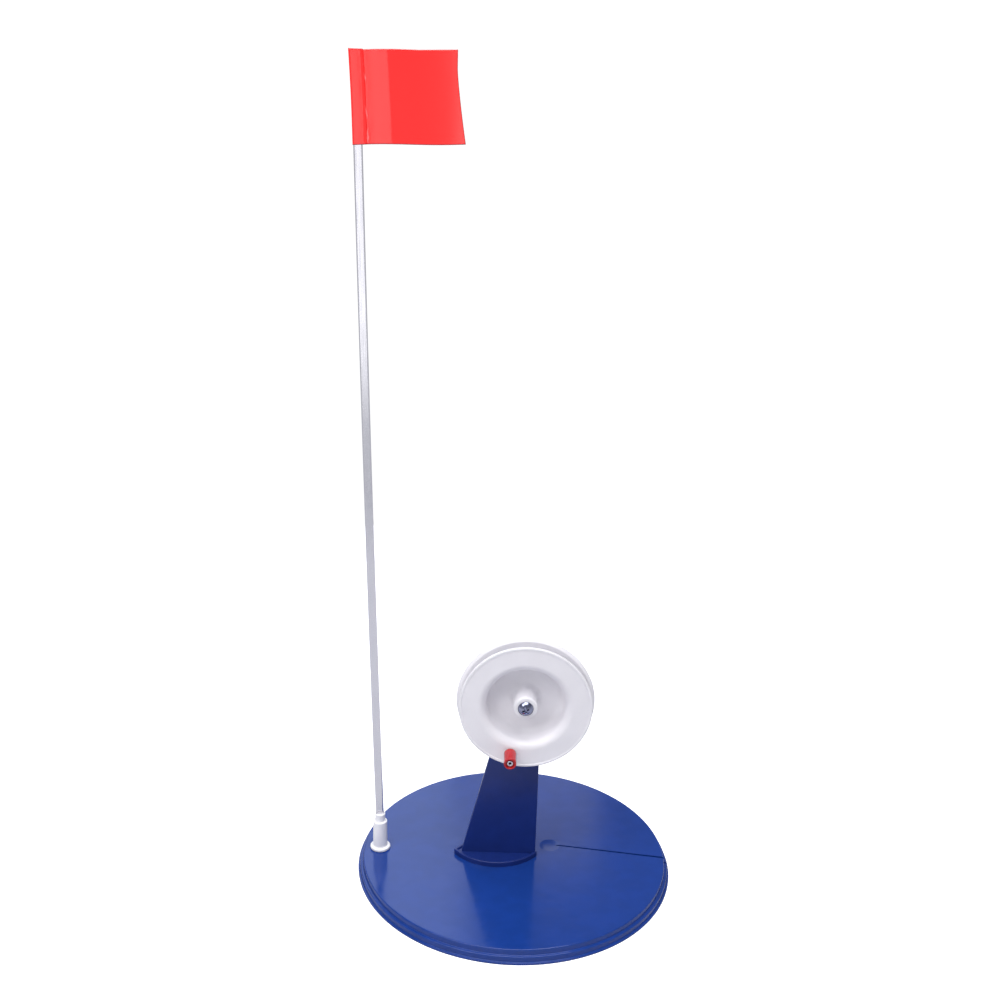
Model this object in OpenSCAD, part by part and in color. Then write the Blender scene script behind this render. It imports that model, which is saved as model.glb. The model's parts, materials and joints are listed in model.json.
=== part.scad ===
// Ice-fishing tip-up: a round hole cover with a stand, a line reel and a spring-strip signal flag.
// Frame: millimetres, origin at the centre of the base on the floor, +Z up, +X to the right of a
// person who faces the reel, -Y towards that person.

/* [Base] */
// Outer radius of the bottom lip
base_r = 100; // [98:1:125]
// Height of the deck's top face
deck_z = 8.5; // [7.5:0.5:12]
// Thickness of the deck
deck_t = 2.2; // [1.8:0.1:3]
// Thickness of the stepped rim's wall
rim_t = 2; // [1.6:0.1:2.4]
// Height of the bottom lip
lip_h = 1.4; // [1:0.1:2]
// Height of the middle ledge
ledge_z = 4.8; // [4:0.1:5.2]
// Width of the slit that the fishing line slips in through
slit_w = 1; // [0.6:0.1:2]

/* [Stand] */
// Thickness of the blade
blade_t = 3; // [2.5:0.1:3.4]
// Left end of the blade's root
blade_left_x = -34.2; // [-36:0.1:-30]
// Right end of the blade's root
blade_right_x = 13.5; // [10:0.1:14]
// Radius of the blade's round top
blade_top_r = 10.1; // [8:0.1:12]
// Radius of the two arcs that make the lens-shaped foot
foot_r = 32.7; // [31:0.1:35]
// Depth of the foot from front to back
foot_depth = 27; // [20:0.5:30]
// Height of the foot's raised edge above the deck
foot_h = 3.4; // [2.8:0.1:4]

/* [Reel] */
// Reel axis, from the base's centre to the right
reel_x = 3.1; // [0:0.1:6]
// Height of the reel's axis
reel_z = 126.6; // [110:0.1:150]
// Outer radius of the reel's front flange
reel_r = 40; // [37:0.5:42]
// Outer radius of the reel's back flange
back_flange_r = 41.7; // [38:0.1:44]
// Width of the spool over both flanges
spool_w = 10.7; // [9:0.1:13]
// Length of the reel along its axis
reel_len = 17.6; // [16:0.1:20]
// Radius of the drum that the line is wound on
drum_r = 28; // [27.5:0.1:29]
// Thickness of each flange
flange_t = 2; // [1.6:0.1:2.2]
// Radius of the central boss
boss_r = 7.2; // [6:0.1:8]

/* [Knob] */
// Distance from the reel's axis to the knob's axis
knob_arm = 32.2; // [31.5:0.1:33.5]
// Angle of the knob's arm, turned from straight down towards the left
knob_angle = 14.8; // [0:0.1:90]
// Outer radius of the red sleeve
knob_r = 3.75; // [3.4:0.05:4.2]
// Length of the red sleeve
knob_len = 12; // [9:0.5:14]

/* [Flag] */
// Vertical axis of the flag's socket, from the base's centre
socket_x = -86.4; // [-88:0.1:-80]
// Outer radius of the socket's body
socket_r = 4.55; // [4.3:0.05:5]
// Height of the socket's top
socket_top_z = 34.2; // [32:0.1:38]
// Width of the spring strip
strip_w = 5; // [4:0.1:5]
// Thickness of the spring strip
strip_t = 0.5; // [0.4:0.05:0.6]
// Height of the strip's top end
strip_top_z = 490.5; // [400:0.5:500]
// Number of stiff lengths that stand for the strip
strip_count = 12; // [8:1:14]
// Height of the flag
flag_h = 47.5; // [35:0.5:50]
// Width of the flag at its top, sleeve included
flag_w = 55; // [45:0.5:60]

/* [Hidden] */
STRIPS = [for (i = [1:strip_count]) str("spring_strip_", i)];
$fn = 96;
// Overrun of a cutting shape past the face that it opens
over = 1;
// Slack between two pieces that are clipped together
clip_gap = 0.15;
// Radial slack of a running fit
run_gap = 0.07;
// Overlap of two solids that are joined into one
lap = 0.1;

ledge_r = base_r - 1.4;
deck_r = base_r - 3.4;
deck_under_z = deck_z - deck_t;
edge_c = 0.7;
lip_slope_w = 0.3;
lip_slope_h = 0.5;
ledge_slope_w = 0.5;
ledge_slope_h = 0.2;

blade_y = -5.5;
blade_back_y = blade_y + blade_t;
tongue_left_x = -28;
tongue_right_x = 8;
tongue_z = 3;
barb = 1;
barb_h = 0.6;
barb_w = 10;
foot_x = -11.9;
foot_y = -4.3;
foot_edge = 1.6;
foot_plate_h = 2.6;
stand_boss_r = 6;
stand_boss_len = 6;
rib_t = 3;
rib_root = 10;
rib_tip = 5;

reel_back_y = -6.9;
reel_face_y = reel_back_y - reel_len;
bowl_floor_r = 19.5;
bowl_wall_r = 24;
bowl_round = 4.5;
bowl_floor = 3.2;
bowl_back = 1.2;
reel_bead = 1.5;
face_set_back = 0.3;

screw_r = 2.1;
screw_len = 25;
thread_pitch = 1.4;
thread_depth = 0.5;
thread_turns = 5;
head_r = 4.65;
head_h = 2.8;
washer_r = 6;
washer_t = 1.2;
washer_gap = 0.15;

rivet_r = 1.65;
rivet_hole_r = 0.75;
rivet_head_r = 2.15;
rivet_head_h = 0.8;
knob_gap = 0.25;
knob_recess_r = 2.5;
knob_recess = 1.4;
knob_y = reel_face_y - knob_gap - knob_len;

socket_flange_r = 6.4;
socket_flange_h = 2;
socket_float = 0.1;
socket_body_z = 28.9;
collar_r = 3.25;
spigot_r = 4;
strip_root_z = 14;
strip_free_z = 34;
strip_offset = 0.2;
strip_lean = 14.7;
strip_return = 4.9;
strip_gap = 0.3;
seam_t = 1.4;
seam_w = 7.2;
film_t = 0.6;
flag_left = 3.55;
flag_rise = 1;
flag_top_z = strip_top_z + flag_rise;
flag_low_z = flag_top_z - flag_h;
// The last joint stands this far below the flag, so that the whole flag rides on the last length
flag_clear = 2;
strip_pitch = (flag_low_z - flag_clear - strip_free_z) / (strip_count - 1);
sleeve_gap = 0.3;

// Sideways place of the strip's centreline at height z: it leans out and slowly straightens up
function strip_x(z) =
    let (t = (z - strip_free_z) / (strip_top_z - strip_free_z))
    socket_x - strip_offset - strip_lean * t + strip_return * t * t;

// Height of the joint that stands below strip length i; past the last length, the strip's top
function joint_z(i) = i > strip_count ? strip_top_z : strip_free_z + (i - 1) * strip_pitch;

// Point where a straight edge from point p touches the blade's round top, on side -1 or 1
function tangent_point(p, side) =
    let (
        to_top = [reel_x - p[0], reel_z - p[1]],
        reach = norm(to_top),
        heading = atan2(to_top[1], to_top[0]) - side * asin(blade_top_r / reach),
        len = sqrt(reach * reach - blade_top_r * blade_top_r)
    )
    [p[0] + len * cos(heading), p[1] + len * sin(heading)];

// Draws its children with their local +Z along the reel's axis towards the front, from depth y
module on_reel_axis(y, x = reel_x, z = reel_z) {
    translate([x, y, z]) rotate([90, 0, 0]) children();
}

// Same, on the knob's axis
module on_knob_axis(y) {
    on_reel_axis(y, reel_x - knob_arm * sin(knob_angle), reel_z - knob_arm * cos(knob_angle))
        children();
}

// Half section of the hollow, stepped base: the outside minus the same steps one wall inside
module base_section() {
    difference() {
        polygon([
            [0, 0], [base_r, 0], [base_r, lip_h], [ledge_r + lip_slope_w, lip_h + lip_slope_h],
            [ledge_r, ledge_z - edge_c], [ledge_r - edge_c, ledge_z],
            [deck_r + ledge_slope_w, ledge_z + ledge_slope_h],
            [deck_r, deck_z - edge_c], [deck_r - edge_c, deck_z], [0, deck_z]
        ]);
        polygon([
            [0, -over], [ledge_r - rim_t, -over], [ledge_r - rim_t, ledge_z - rim_t],
            [deck_r - rim_t, ledge_z - rim_t], [deck_r - rim_t, deck_under_z], [0, deck_under_z]
        ]);
    }
}

module base_disc() {
    dimple_x = 23.2;
    dimple_y = 7.8;
    dimple_r = 6.5;
    dimple_depth = 0.6;
    dimple_ball_r = (dimple_r * dimple_r + dimple_depth * dimple_depth) / (2 * dimple_depth);
    slit_x = 28;
    slit_y = 8.3;
    slit_angle = -8.3;
    color("mediumblue")
    difference() {
        rotate_extrude($fn = 180) base_section();
        translate([dimple_x, dimple_y, deck_z - dimple_depth + dimple_ball_r])
            sphere(r = dimple_ball_r, $fn = 180);
        translate([slit_x, slit_y, 0]) {
            translate([0, 0, -over]) cylinder(r = slit_w / 2, h = deck_z + 2 * over);
            rotate([0, 0, slit_angle])
                translate([0, -slit_w / 2, -over])
                cube([base_r, slit_w, deck_z + 2 * over]);
        }
        translate([tongue_left_x - clip_gap, blade_y - clip_gap, -over])
            cube([tongue_right_x - tongue_left_x + 2 * clip_gap, blade_t + 2 * clip_gap, deck_z + 2 * over]);
        translate([socket_x, 0, -over]) cylinder(r = spigot_r + run_gap, h = deck_z + 2 * over);
    }
}

// Outline of the foot, drawn in by inset all round
module foot_outline(inset) {
    intersection_for (side = [-1, 1])
        translate([foot_x, foot_y + side * (foot_r - foot_depth / 2)])
        circle(r = foot_r - inset, $fn = 180);
}

// Blade, its round top and the tongue that goes down through the deck, before the hole is drilled
module blade() {
    left = [blade_left_x, deck_z];
    right = [blade_right_x, deck_z];
    translate([0, blade_back_y, 0]) rotate([90, 0, 0]) linear_extrude(blade_t) {
        polygon([right, tangent_point(right, 1), [reel_x, reel_z], tangent_point(left, -1), left]);
        translate([reel_x, reel_z]) circle(r = blade_top_r);
        translate([tongue_left_x, tongue_z])
            square([tongue_right_x - tongue_left_x, deck_z - tongue_z + lap]);
    }
}

// Snap barb under the deck, on the front (-1) or back (1) of the tongue
module tongue_barb(side) {
    middle_y = blade_y + blade_t / 2;
    top_z = deck_under_z - clip_gap;
    translate([(tongue_left_x + tongue_right_x - barb_w) / 2, middle_y, 0])
        rotate([90, 0, 90])
        linear_extrude(barb_w)
        polygon([
            [0, top_z], [side * (blade_t / 2 + barb), top_z], [side * (blade_t / 2 + barb), top_z - barb_h],
            [side * blade_t / 2, tongue_z], [0, tongue_z]
        ]);
}

// Stiffening rib behind the blade, from the foot up to the screw's boss
module back_rib() {
    foot_top = deck_z + foot_plate_h;
    rise = reel_z - foot_top;
    lean = atan2(reel_x - foot_x, rise);
    sunk = 0.5;
    translate([foot_x, blade_back_y, foot_top - sunk])
        rotate([0, lean, 0])
        rotate([90, 0, 90])
        translate([0, 0, -rib_t / 2])
        linear_extrude(rib_t)
        polygon([[-sunk, 0], [rib_root, 0], [rib_tip, rise], [-sunk, rise]]);
}

module stand() {
    color("darkblue")
    difference() {
        union() {
            blade();
            translate([0, 0, deck_z]) linear_extrude(foot_plate_h) foot_outline(0);
            translate([0, 0, deck_z]) linear_extrude(foot_h) difference() {
                foot_outline(0);
                foot_outline(foot_edge);
            }
            tongue_barb(-1);
            tongue_barb(1);
            back_rib();
            on_reel_axis(blade_back_y + stand_boss_len)
                cylinder(r = stand_boss_r, h = stand_boss_len + lap);
        }
        on_reel_axis(blade_back_y + stand_boss_len + over)
            cylinder(r = screw_r - thread_depth / 2, h = stand_boss_len + blade_t + 2 * over);
    }
}

module reel_washer() {
    color("white")
    on_reel_axis(blade_y) difference() {
        cylinder(r = washer_r, h = washer_t);
        translate([0, 0, -over]) cylinder(r = screw_r + washer_gap, h = washer_t + 2 * over);
    }
}

// Half section of one stretch of screw: shank, saw-tooth thread and point
module screw_section() {
    core_r = screw_r - thread_depth;
    thread_len = thread_turns * thread_pitch;
    point_len = 1.5;
    crests = [for (i = [0:thread_turns - 1])
        for (corner = [[core_r, 0], [screw_r, thread_pitch / 2]])
            [corner[0], point_len + i * thread_pitch + corner[1]]];
    polygon(concat(
        [[0, 0]], crests,
        [[core_r, point_len + thread_len], [screw_r, point_len + thread_len + thread_depth],
         [screw_r, screw_len + lap], [0, screw_len + lap]]
    ));
}

module hub_screw() {
    ball_r = (head_r * head_r + head_h * head_h) / (2 * head_h);
    arm_w = 1.1;
    arm_len = 5;
    recess = 1.8;
    recess_turn = 20;
    color("silver")
    on_reel_axis(reel_face_y + screw_len) {
        rotate_extrude() screw_section();
        difference() {
            intersection() {
                translate([0, 0, screw_len]) cylinder(r = head_r, h = head_h);
                translate([0, 0, screw_len + head_h - ball_r]) sphere(r = ball_r);
            }
            for (turn = [0, 90])
                translate([0, 0, screw_len + head_h - recess])
                rotate([0, 0, turn + recess_turn])
                translate([-arm_len / 2, -arm_w / 2, 0])
                cube([arm_len, arm_w, recess + over]);
        }
    }
}

// Half section of the reel, from its axis outwards; height 0 is the back
module reel_section() {
    bend = bowl_wall_r - bowl_floor_r;
    face = reel_len - face_set_back;
    difference() {
        union() {
            square([drum_r, reel_len]);
            translate([0, reel_len - flange_t]) square([reel_r, flange_t]);
            translate([0, reel_len - spool_w]) square([back_flange_r, flange_t]);
        }
        // bowl in the face: straight wall, bent foot and rounded mouth
        translate([boss_r, bowl_floor + bend])
            square([bowl_wall_r - boss_r, reel_len]);
        translate([boss_r, bowl_floor])
            square([bowl_floor_r - boss_r, bend + lap]);
        translate([bowl_floor_r, bowl_floor + bend]) circle(r = bend);
        translate([bowl_wall_r, face - bowl_round]) difference() {
            square([bowl_round, bowl_round + over]);
            translate([bowl_round, 0]) circle(r = bowl_round);
        }
        // shallow recess in the back, around the boss
        translate([boss_r, -over]) square([bowl_floor_r - boss_r, bowl_back + over]);
        // face set back inside the outer bead
        translate([boss_r, face]) square([reel_r - reel_bead - boss_r, over]);
        // bore
        translate([0, -over]) square([screw_r + run_gap, reel_len + 2 * over]);
    }
}

module reel_spool() {
    color("white")
    difference() {
        on_reel_axis(reel_back_y) rotate_extrude($fn = 180) reel_section();
        on_knob_axis(reel_face_y + flange_t + over)
            cylinder(r = rivet_r, h = flange_t + 2 * over);
    }
}

// Hollow rivet through the reel's front flange; the knob turns on it
module knob_rivet() {
    tail_h = 0.7;
    tail_r = 2.4;
    back_y = reel_face_y + flange_t;
    head_y = knob_y + knob_recess - rivet_head_h;
    color("silver")
    on_knob_axis(0) difference() {
        union() {
            translate([0, 0, -back_y - tail_h]) cylinder(r = tail_r, h = tail_h);
            translate([0, 0, -back_y - tail_h]) cylinder(r = rivet_r, h = back_y + tail_h - head_y);
            translate([0, 0, -head_y - rivet_head_h])
                cylinder(r = rivet_head_r, h = rivet_head_h);
        }
        translate([0, 0, -back_y - tail_h - over])
            cylinder(r = rivet_hole_r, h = back_y - head_y + 2 * over + tail_h);
    }
}

module knob_sleeve() {
    color("red")
    on_knob_axis(reel_face_y - knob_gap) difference() {
        cylinder(r = knob_r, h = knob_len);
        translate([0, 0, -over]) cylinder(r = rivet_r + run_gap, h = knob_len + 2 * over);
        translate([0, 0, knob_len - knob_recess]) cylinder(r = knob_recess_r, h = knob_recess + over);
    }
}

module flag_socket() {
    barb_r = spigot_r + 0.7;
    barb_z = 2.6;
    collar_hole_r = 2.75;
    barb_gap = 0.3;
    pocket_w = strip_w + lap;
    color("white")
    translate([socket_x, 0, 0]) difference() {
        union() {
            cylinder_from(deck_z + socket_float, deck_z + socket_float + socket_flange_h, socket_flange_r);
            cylinder_from(deck_z + socket_float, socket_body_z, socket_r);
            cylinder_from(barb_z, socket_top_z, collar_r);
            cylinder_from(barb_z, deck_z + socket_float + lap, spigot_r);
            cylinder_from(barb_z, deck_under_z - barb_gap, barb_r);
        }
        cylinder_from(socket_body_z, socket_top_z + over, collar_hole_r);
        translate([-pocket_w / 2 - strip_offset, -strip_t / 2, strip_root_z])
            cube([pocket_w, strip_t, socket_top_z]);
    }
}

// Upright cylinder between two heights
module cylinder_from(low, high, r) {
    translate([0, 0, low]) cylinder(r = r, h = high - low);
}

// Straight bar of the strip's section between two heights on its centreline
module strip_bar(low_z, high_z, gap_low, gap_high) {
    low = [strip_x(low_z), low_z];
    run = [strip_x(high_z), high_z] - low;
    translate([low[0], 0, low[1]])
        rotate([0, atan2(run[0], run[1]), 0])
        translate([-strip_w / 2, -strip_t / 2, gap_low])
        cube([strip_w, strip_t, norm(run) - gap_low - gap_high]);
}

// One stiff length of the flag's flat spring; length 1 also runs down into the socket
module spring_strip(i) {
    color("gainsboro") {
        strip_bar(
            joint_z(i), joint_z(i + 1),
            i == 1 ? 0 : strip_gap / 2, i == strip_count ? 0 : strip_gap / 2
        );
        if (i == 1)
            translate([strip_x(strip_free_z) - strip_w / 2, -strip_t / 2, strip_root_z])
            cube([strip_w, strip_t, strip_free_z - strip_root_z + lap]);
    }
}

// Film flag: a sleeve folded round the strip and one flying layer to the right
module flag() {
    left_x = strip_x(strip_top_z) - flag_left;
    slant = 1.8;
    spread = 4.9;
    color("red")
    difference() {
        translate([0, film_t / 2, 0]) rotate([90, 0, 0]) {
            linear_extrude(film_t) polygon([
                [left_x, flag_top_z], [left_x + slant, flag_low_z],
                [left_x + flag_w + spread, flag_low_z], [left_x + flag_w, flag_top_z - flag_rise]
            ]);
            translate([0, 0, (film_t - seam_t) / 2]) linear_extrude(seam_t) polygon([
                [left_x, flag_top_z], [left_x + slant, flag_low_z],
                [left_x + slant + seam_w, flag_low_z], [left_x + seam_w, flag_top_z]
            ]);
        }
        translate([strip_x(flag_low_z) - strip_w / 2 - sleeve_gap, -strip_t / 2, flag_low_z - over])
            rotate([0, atan2(strip_x(strip_top_z) - strip_x(flag_low_z), flag_h), 0])
            cube([strip_w + 2 * sleeve_gap, strip_t, flag_h + 3 * over]);
    }
}

base_disc();
stand();
reel_washer();
hub_screw();
reel_spool();
knob_rivet();
knob_sleeve();
flag_socket();
flag();
for (i = [1:strip_count])
    spring_strip(i);
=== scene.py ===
"""Ice-fishing tip-up: hole cover, stand, line reel, crank knob and spring-strip signal flag."""

import json
import logging
import math
from collections.abc import Sequence
from dataclasses import dataclass, field
from enum import Enum

import bmesh
import bpy
from bpy.types import Material, Mesh, Node, NodeSocket, NodeTree, Object
from mathutils import Matrix, Vector


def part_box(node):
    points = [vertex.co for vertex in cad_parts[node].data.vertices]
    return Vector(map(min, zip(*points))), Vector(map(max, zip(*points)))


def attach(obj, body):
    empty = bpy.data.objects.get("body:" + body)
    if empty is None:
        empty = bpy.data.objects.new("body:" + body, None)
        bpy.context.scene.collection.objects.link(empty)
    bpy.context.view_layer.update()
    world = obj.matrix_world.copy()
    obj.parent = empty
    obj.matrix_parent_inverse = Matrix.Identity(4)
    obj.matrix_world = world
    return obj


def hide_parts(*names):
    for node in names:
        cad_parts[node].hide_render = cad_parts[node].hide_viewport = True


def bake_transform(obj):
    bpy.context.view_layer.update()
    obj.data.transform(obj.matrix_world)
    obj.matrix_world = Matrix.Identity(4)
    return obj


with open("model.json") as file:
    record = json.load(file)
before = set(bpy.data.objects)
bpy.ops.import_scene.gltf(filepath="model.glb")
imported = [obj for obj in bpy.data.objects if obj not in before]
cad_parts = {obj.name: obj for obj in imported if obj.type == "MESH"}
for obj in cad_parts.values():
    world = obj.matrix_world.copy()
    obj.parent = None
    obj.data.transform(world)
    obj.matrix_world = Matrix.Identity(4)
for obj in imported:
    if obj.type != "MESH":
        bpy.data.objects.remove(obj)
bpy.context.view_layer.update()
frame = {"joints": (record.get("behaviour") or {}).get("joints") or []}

LOG = logging.getLogger("tip_up")
MM = 0.001

Point = tuple[float, float]
Corner = tuple[float, float, float]
# A bump's pattern and its height in millimetres
Bump = tuple[NodeSocket, float]

# Where the reel's axis stands across and up, and the noise range that holds nearly every value
REEL_AXIS: Point = (3.1, 126.6)
NOISE_RANGE = {1: 0.35, 2: 0.65}


class Join(Enum):
    """How one solid is combined with another."""

    UNITE = "UNION"
    CUT = "DIFFERENCE"


# ---------------------------------------------------------------- node helpers


def add_node(tree: NodeTree, kind: str, sockets: dict | None = None, **settings: object) -> Node:
    """Adds one node to a tree with its settings and links.

    Args:
        tree: the tree that takes the node.
        kind: the node's type.
        sockets: value or source socket for each input, by name or number.
        **settings: the node's own properties.

    Returns:
        The new node.
    """
    node = tree.nodes.new(kind)
    for name, value in settings.items():
        setattr(node, name, value)
    for key, value in (sockets or {}).items():
        if isinstance(value, NodeSocket):
            tree.links.new(value, node.inputs[key])
        else:
            node.inputs[key].default_value = value
    return node


def colour(code: str) -> tuple[float, float, float, float]:
    """Turns an sRGB hex colour into linear RGBA.

    Args:
        code: six hex digits.

    Returns:
        Linear red, green, blue and an alpha of 1.
    """
    parts = [int(code[i : i + 2], 16) / 255 for i in (0, 2, 4)]
    linear = [p / 12.92 if p <= 0.04045 else ((p + 0.055) / 1.055) ** 2.4 for p in parts]
    return (*linear, 1.0)


def box_mm(node: str) -> tuple[Corner, Corner]:
    """Gives the low and the high corner of a CAD node's box, in millimetres."""
    low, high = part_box(node)
    return tuple(c / MM for c in low), tuple(c / MM for c in high)


# -------------------------------------------------------------------- finishes


@dataclass(frozen=True)
class Finish:
    """What every finish has: a name, its two near colours and its gloss."""

    name: str
    base: str
    shade: str
    roughness: float
    metallic: float = 0.0
    ior: float = 1.5
    patch_mm: float = 12.0
    patch_mix: float = 0.5

    def material(self) -> Material:
        """Builds the finish.

        Returns:
            The material, ready for a piece.
        """
        made = bpy.data.materials.new(self.name)
        made.use_nodes = True
        tree = made.node_tree
        tree.nodes.clear()
        place = add_node(tree, "ShaderNodeTexCoord").outputs["Object"]
        shader = add_node(
            tree, "ShaderNodeBsdfPrincipled", {"Metallic": self.metallic, "Roughness": self.roughness}
        )
        if not self.metallic:
            shader.inputs["IOR"].default_value = self.ior
        patches = add_node(
            tree,
            "ShaderNodeTexNoise",
            {"Vector": place, "Scale": 1 / (self.patch_mm * MM), "Detail": 3.0},
        ).outputs["Fac"]
        low, high = 0.5 - self.patch_mix / 2, 0.5 + self.patch_mix / 2
        part = add_node(
            tree,
            "ShaderNodeMapRange",
            {0: patches, **NOISE_RANGE, 3: low, 4: high},
            interpolation_type="SMOOTHSTEP",
        ).outputs[0]
        mixed = add_node(
            tree,
            "ShaderNodeMix",
            {0: part, 6: colour(self.base), 7: colour(self.shade)},
            data_type="RGBA",
        )
        tree.links.new(mixed.outputs[2], shader.inputs["Base Color"])
        normal = None
        for pattern, height in self.dress(tree, shader, place):
            sockets = {"Height": pattern, "Distance": height * MM, "Strength": 1.0}
            bump = add_node(tree, "ShaderNodeBump", sockets)
            if normal is not None:
                tree.links.new(normal, bump.inputs["Normal"])
            normal = bump.outputs["Normal"]
        if normal is not None:
            tree.links.new(normal, shader.inputs["Normal"])
        end = add_node(tree, "ShaderNodeOutputMaterial", {"Surface": shader.outputs[0]})
        end.target = "ALL"
        return made

    def dress(self, tree: NodeTree, shader: Node, place: NodeSocket) -> list[Bump]:
        """Adds what only this finish has and gives its bumps; the plain one has none."""
        return []


@dataclass(frozen=True)
class Moulded(Finish):
    """Injection-moulded plastic: the mould's own polish, slow shrink waves and a few scuffs."""

    peel_mm: float = 1.6
    peel_depth_mm: float = 0.004
    wave_mm: float = 28.0
    wave_depth_mm: float = 0.02
    scuff: float = 0.08
    scratch_fine: float = 900.0
    scratch_pull: tuple[float, float, float] = (0.12, 1.0, 1.0)
    scratch_turn: tuple[float, float, float] = (0.0, 0.0, 0.5)
    subsurface: float = 0.0
    subsurface_mm: float = 1.0

    def dress(self, tree: NodeTree, shader: Node, place: NodeSocket) -> list[Bump]:
        """Adds the mould's texture, shrink waves and scuffs.

        Args:
            tree: the material's tree.
            shader: the shader.
            place: object coordinates.

        Returns:
            The patterns that bump the surface.
        """
        peel = add_node(
            tree, "ShaderNodeTexNoise", {"Vector": place, "Scale": 1 / (self.peel_mm * MM), "Detail": 2.0}
        ).outputs["Fac"]
        wave = add_node(
            tree, "ShaderNodeTexNoise", {"Vector": place, "Scale": 1 / (self.wave_mm * MM), "Detail": 1.0}
        ).outputs["Fac"]
        stretched = add_node(
            tree,
            "ShaderNodeMapping",
            {"Vector": place, "Scale": self.scratch_pull, "Rotation": self.scratch_turn},
        ).outputs[0]
        scratches = add_node(
            tree, "ShaderNodeTexNoise", {"Vector": stretched, "Scale": self.scratch_fine, "Detail": 4.0}
        ).outputs["Fac"]
        low, high = self.roughness * (1 - self.scuff), self.roughness * (1 + self.scuff)
        rough = add_node(
            tree,
            "ShaderNodeMapRange",
            {0: scratches, **NOISE_RANGE, 3: low, 4: high},
            interpolation_type="SMOOTHSTEP",
        ).outputs[0]
        tree.links.new(rough, shader.inputs["Roughness"])
        if self.subsurface:
            shader.inputs["Subsurface Weight"].default_value = self.subsurface
            shader.inputs["Subsurface Radius"].default_value = (1.0, 1.0, 1.0)
            shader.inputs["Subsurface Scale"].default_value = self.subsurface_mm * MM
        return [(wave, self.wave_depth_mm), (peel, self.peel_depth_mm)]


@dataclass(frozen=True)
class Metal(Finish):
    """Plated or rolled metal: fine lines along one direction and a faint uneven tint."""

    metallic: float = 1.0
    line_mm: float = 0.25
    line_depth_mm: float = 0.0006
    stretch: tuple[float, float, float] = (1.0, 1.0, 1.0)
    smoothest: float = 0.75
    roughest: float = 1.3

    def dress(self, tree: NodeTree, shader: Node, place: NodeSocket) -> list[Bump]:
        """Adds the lines and the uneven gloss.

        Args:
            tree: the material's tree.
            shader: the shader.
            place: object coordinates.

        Returns:
            The patterns that bump the surface.
        """
        drawn = add_node(tree, "ShaderNodeMapping", {"Vector": place, "Scale": self.stretch}).outputs[0]
        lines = add_node(
            tree, "ShaderNodeTexNoise", {"Vector": drawn, "Scale": 1 / (self.line_mm * MM), "Detail": 3.0}
        ).outputs["Fac"]
        low, high = self.roughness * self.smoothest, self.roughness * self.roughest
        rough = add_node(
            tree,
            "ShaderNodeMapRange",
            {0: lines, **NOISE_RANGE, 3: low, 4: high},
            interpolation_type="SMOOTHSTEP",
        ).outputs[0]
        tree.links.new(rough, shader.inputs["Roughness"])
        return [(lines, self.line_depth_mm)]


@dataclass(frozen=True)
class CoatedFilm(Finish):
    """Glossy vinyl film: calendering ripples, and white stress marks where glue pulled the fold."""

    ripple_mm: float = 9.0
    ripple_depth_mm: float = 0.03
    crease_mm: float = 2.2
    crease_depth_mm: float = 0.12
    mark_from: float = 0.50
    mark_to: float = 0.62
    mark_mix: float = 0.6
    mark: str = "FF7C7C"
    cut: str = "8E0A0E"

    def dress(self, tree: NodeTree, shader: Node, place: NodeSocket) -> list[Bump]:
        """Adds the ripples, the creased, paler marks along the seam and the deeper cut edges.

        Args:
            tree: the material's tree.
            shader: the shader.
            place: object coordinates.

        Returns:
            The patterns that bump the surface.
        """
        tall = add_node(
            tree, "ShaderNodeMapping", {"Vector": place, "Scale": (1.0, 1.0, 0.25)}
        ).outputs[0]
        ripple = add_node(
            tree,
            "ShaderNodeTexNoise",
            {"Vector": tall, "Scale": 1 / (self.ripple_mm * MM), "Detail": 1.0},
        ).outputs["Fac"]
        crease = add_node(
            tree,
            "ShaderNodeTexNoise",
            {"Vector": tall, "Scale": 1 / (self.crease_mm * MM), "Detail": 4.0, "Distortion": 0.8},
        ).outputs["Fac"]
        across = add_node(tree, "ShaderNodeAttribute", attribute_name="seam").outputs["Fac"]
        seam_crease = add_node(
            tree, "ShaderNodeMath", {0: crease, 1: across}, operation="MULTIPLY"
        ).outputs[0]
        pale = add_node(
            tree,
            "ShaderNodeMapRange",
            {0: seam_crease, 1: self.mark_from, 2: self.mark_to, 3: 0.0, 4: self.mark_mix},
            interpolation_type="SMOOTHSTEP",
        ).outputs[0]
        old = shader.inputs["Base Color"].links[0].from_socket
        marked = add_node(
            tree, "ShaderNodeMix", {0: pale, 6: old, 7: colour(self.mark)}, data_type="RGBA"
        )
        border = add_node(tree, "ShaderNodeAttribute", attribute_name="border").outputs["Fac"]
        edged = add_node(
            tree,
            "ShaderNodeMix",
            {0: border, 6: marked.outputs[2], 7: colour(self.cut)},
            data_type="RGBA",
        )
        tree.links.new(edged.outputs[2], shader.inputs["Base Color"])
        return [(ripple, self.ripple_depth_mm), (seam_crease, self.crease_depth_mm)]


# Royal-blue polypropylene, moulded in a polished tool: deep saturated colour under a clear gloss
# that picks up the bright end of the room.
COVER_BLUE = Moulded("polypropylene_royal_blue_gloss", "183B8B", "163780", 0.15, ior=1.4, scuff=0.25)
# The cover's blue polypropylene with a finer satin polish, its colour painted darker: painted shade, for
# the stand standing in shade.
STAND_BLUE = Moulded("polypropylene_blue_satin_painted_shade", "1A3079", "172B6D", 0.3, ior=1.43, peel_mm=0.9)
# White high-impact polystyrene: satin, faintly warm in its recesses because light soaks in.
REEL_WHITE = Moulded(
    "polystyrene_white_satin", "E9E7EB", "E4E2E6", 0.38, ior=1.55, subsurface=0.3, subsurface_mm=2.5
)
# White polyethylene: waxy, slightly translucent, softer highlights than the reel.
SOCKET_WHITE = Moulded(
    "polyethylene_white_waxy", "F6F5F7", "F1F0F3", 0.32, ior=1.51, subsurface=0.15, subsurface_mm=1.0
)
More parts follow.
